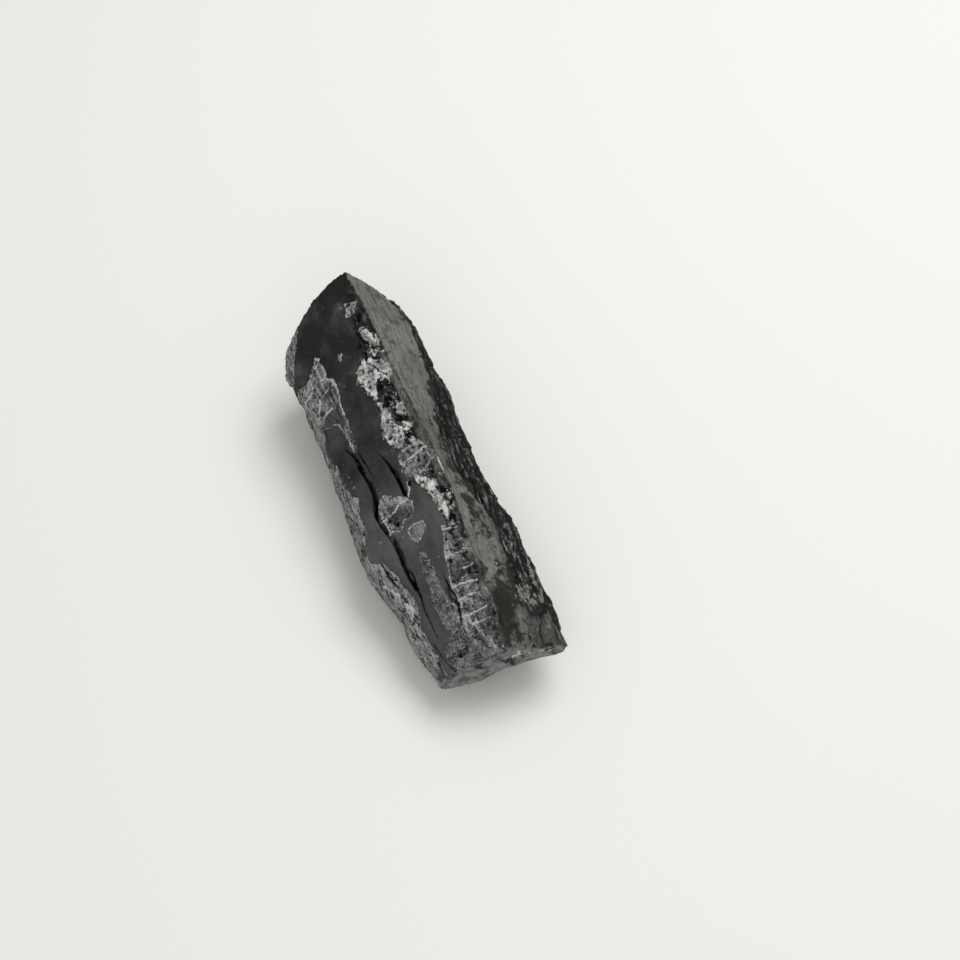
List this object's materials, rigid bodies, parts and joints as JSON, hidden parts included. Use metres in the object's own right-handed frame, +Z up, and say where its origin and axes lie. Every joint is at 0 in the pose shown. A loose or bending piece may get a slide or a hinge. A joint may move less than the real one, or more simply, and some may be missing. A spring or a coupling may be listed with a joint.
{
  "type": "charcoal lump",
  "caption": "Lump of hardwood charcoal: a split billet charred right through, with a ridge along the top, cracks along the grain, patches of ash and broken ends",
  "frame": {"origin": "centre of the box of the lump, at the level of the surface it lies on", "axes": "Y runs along the grain with the taller end at +Y, X runs across the lump, Z points up"},
  "size_m": [0.0592, 0.1644, 0.0575],
  "materials": {
    "charcoal": "charred wood, dull dark grey with patches of pale ash"
  },
  "bodies": {
    "root": {"charcoal_lump": "charcoal"}
  },
  "joints": []
}
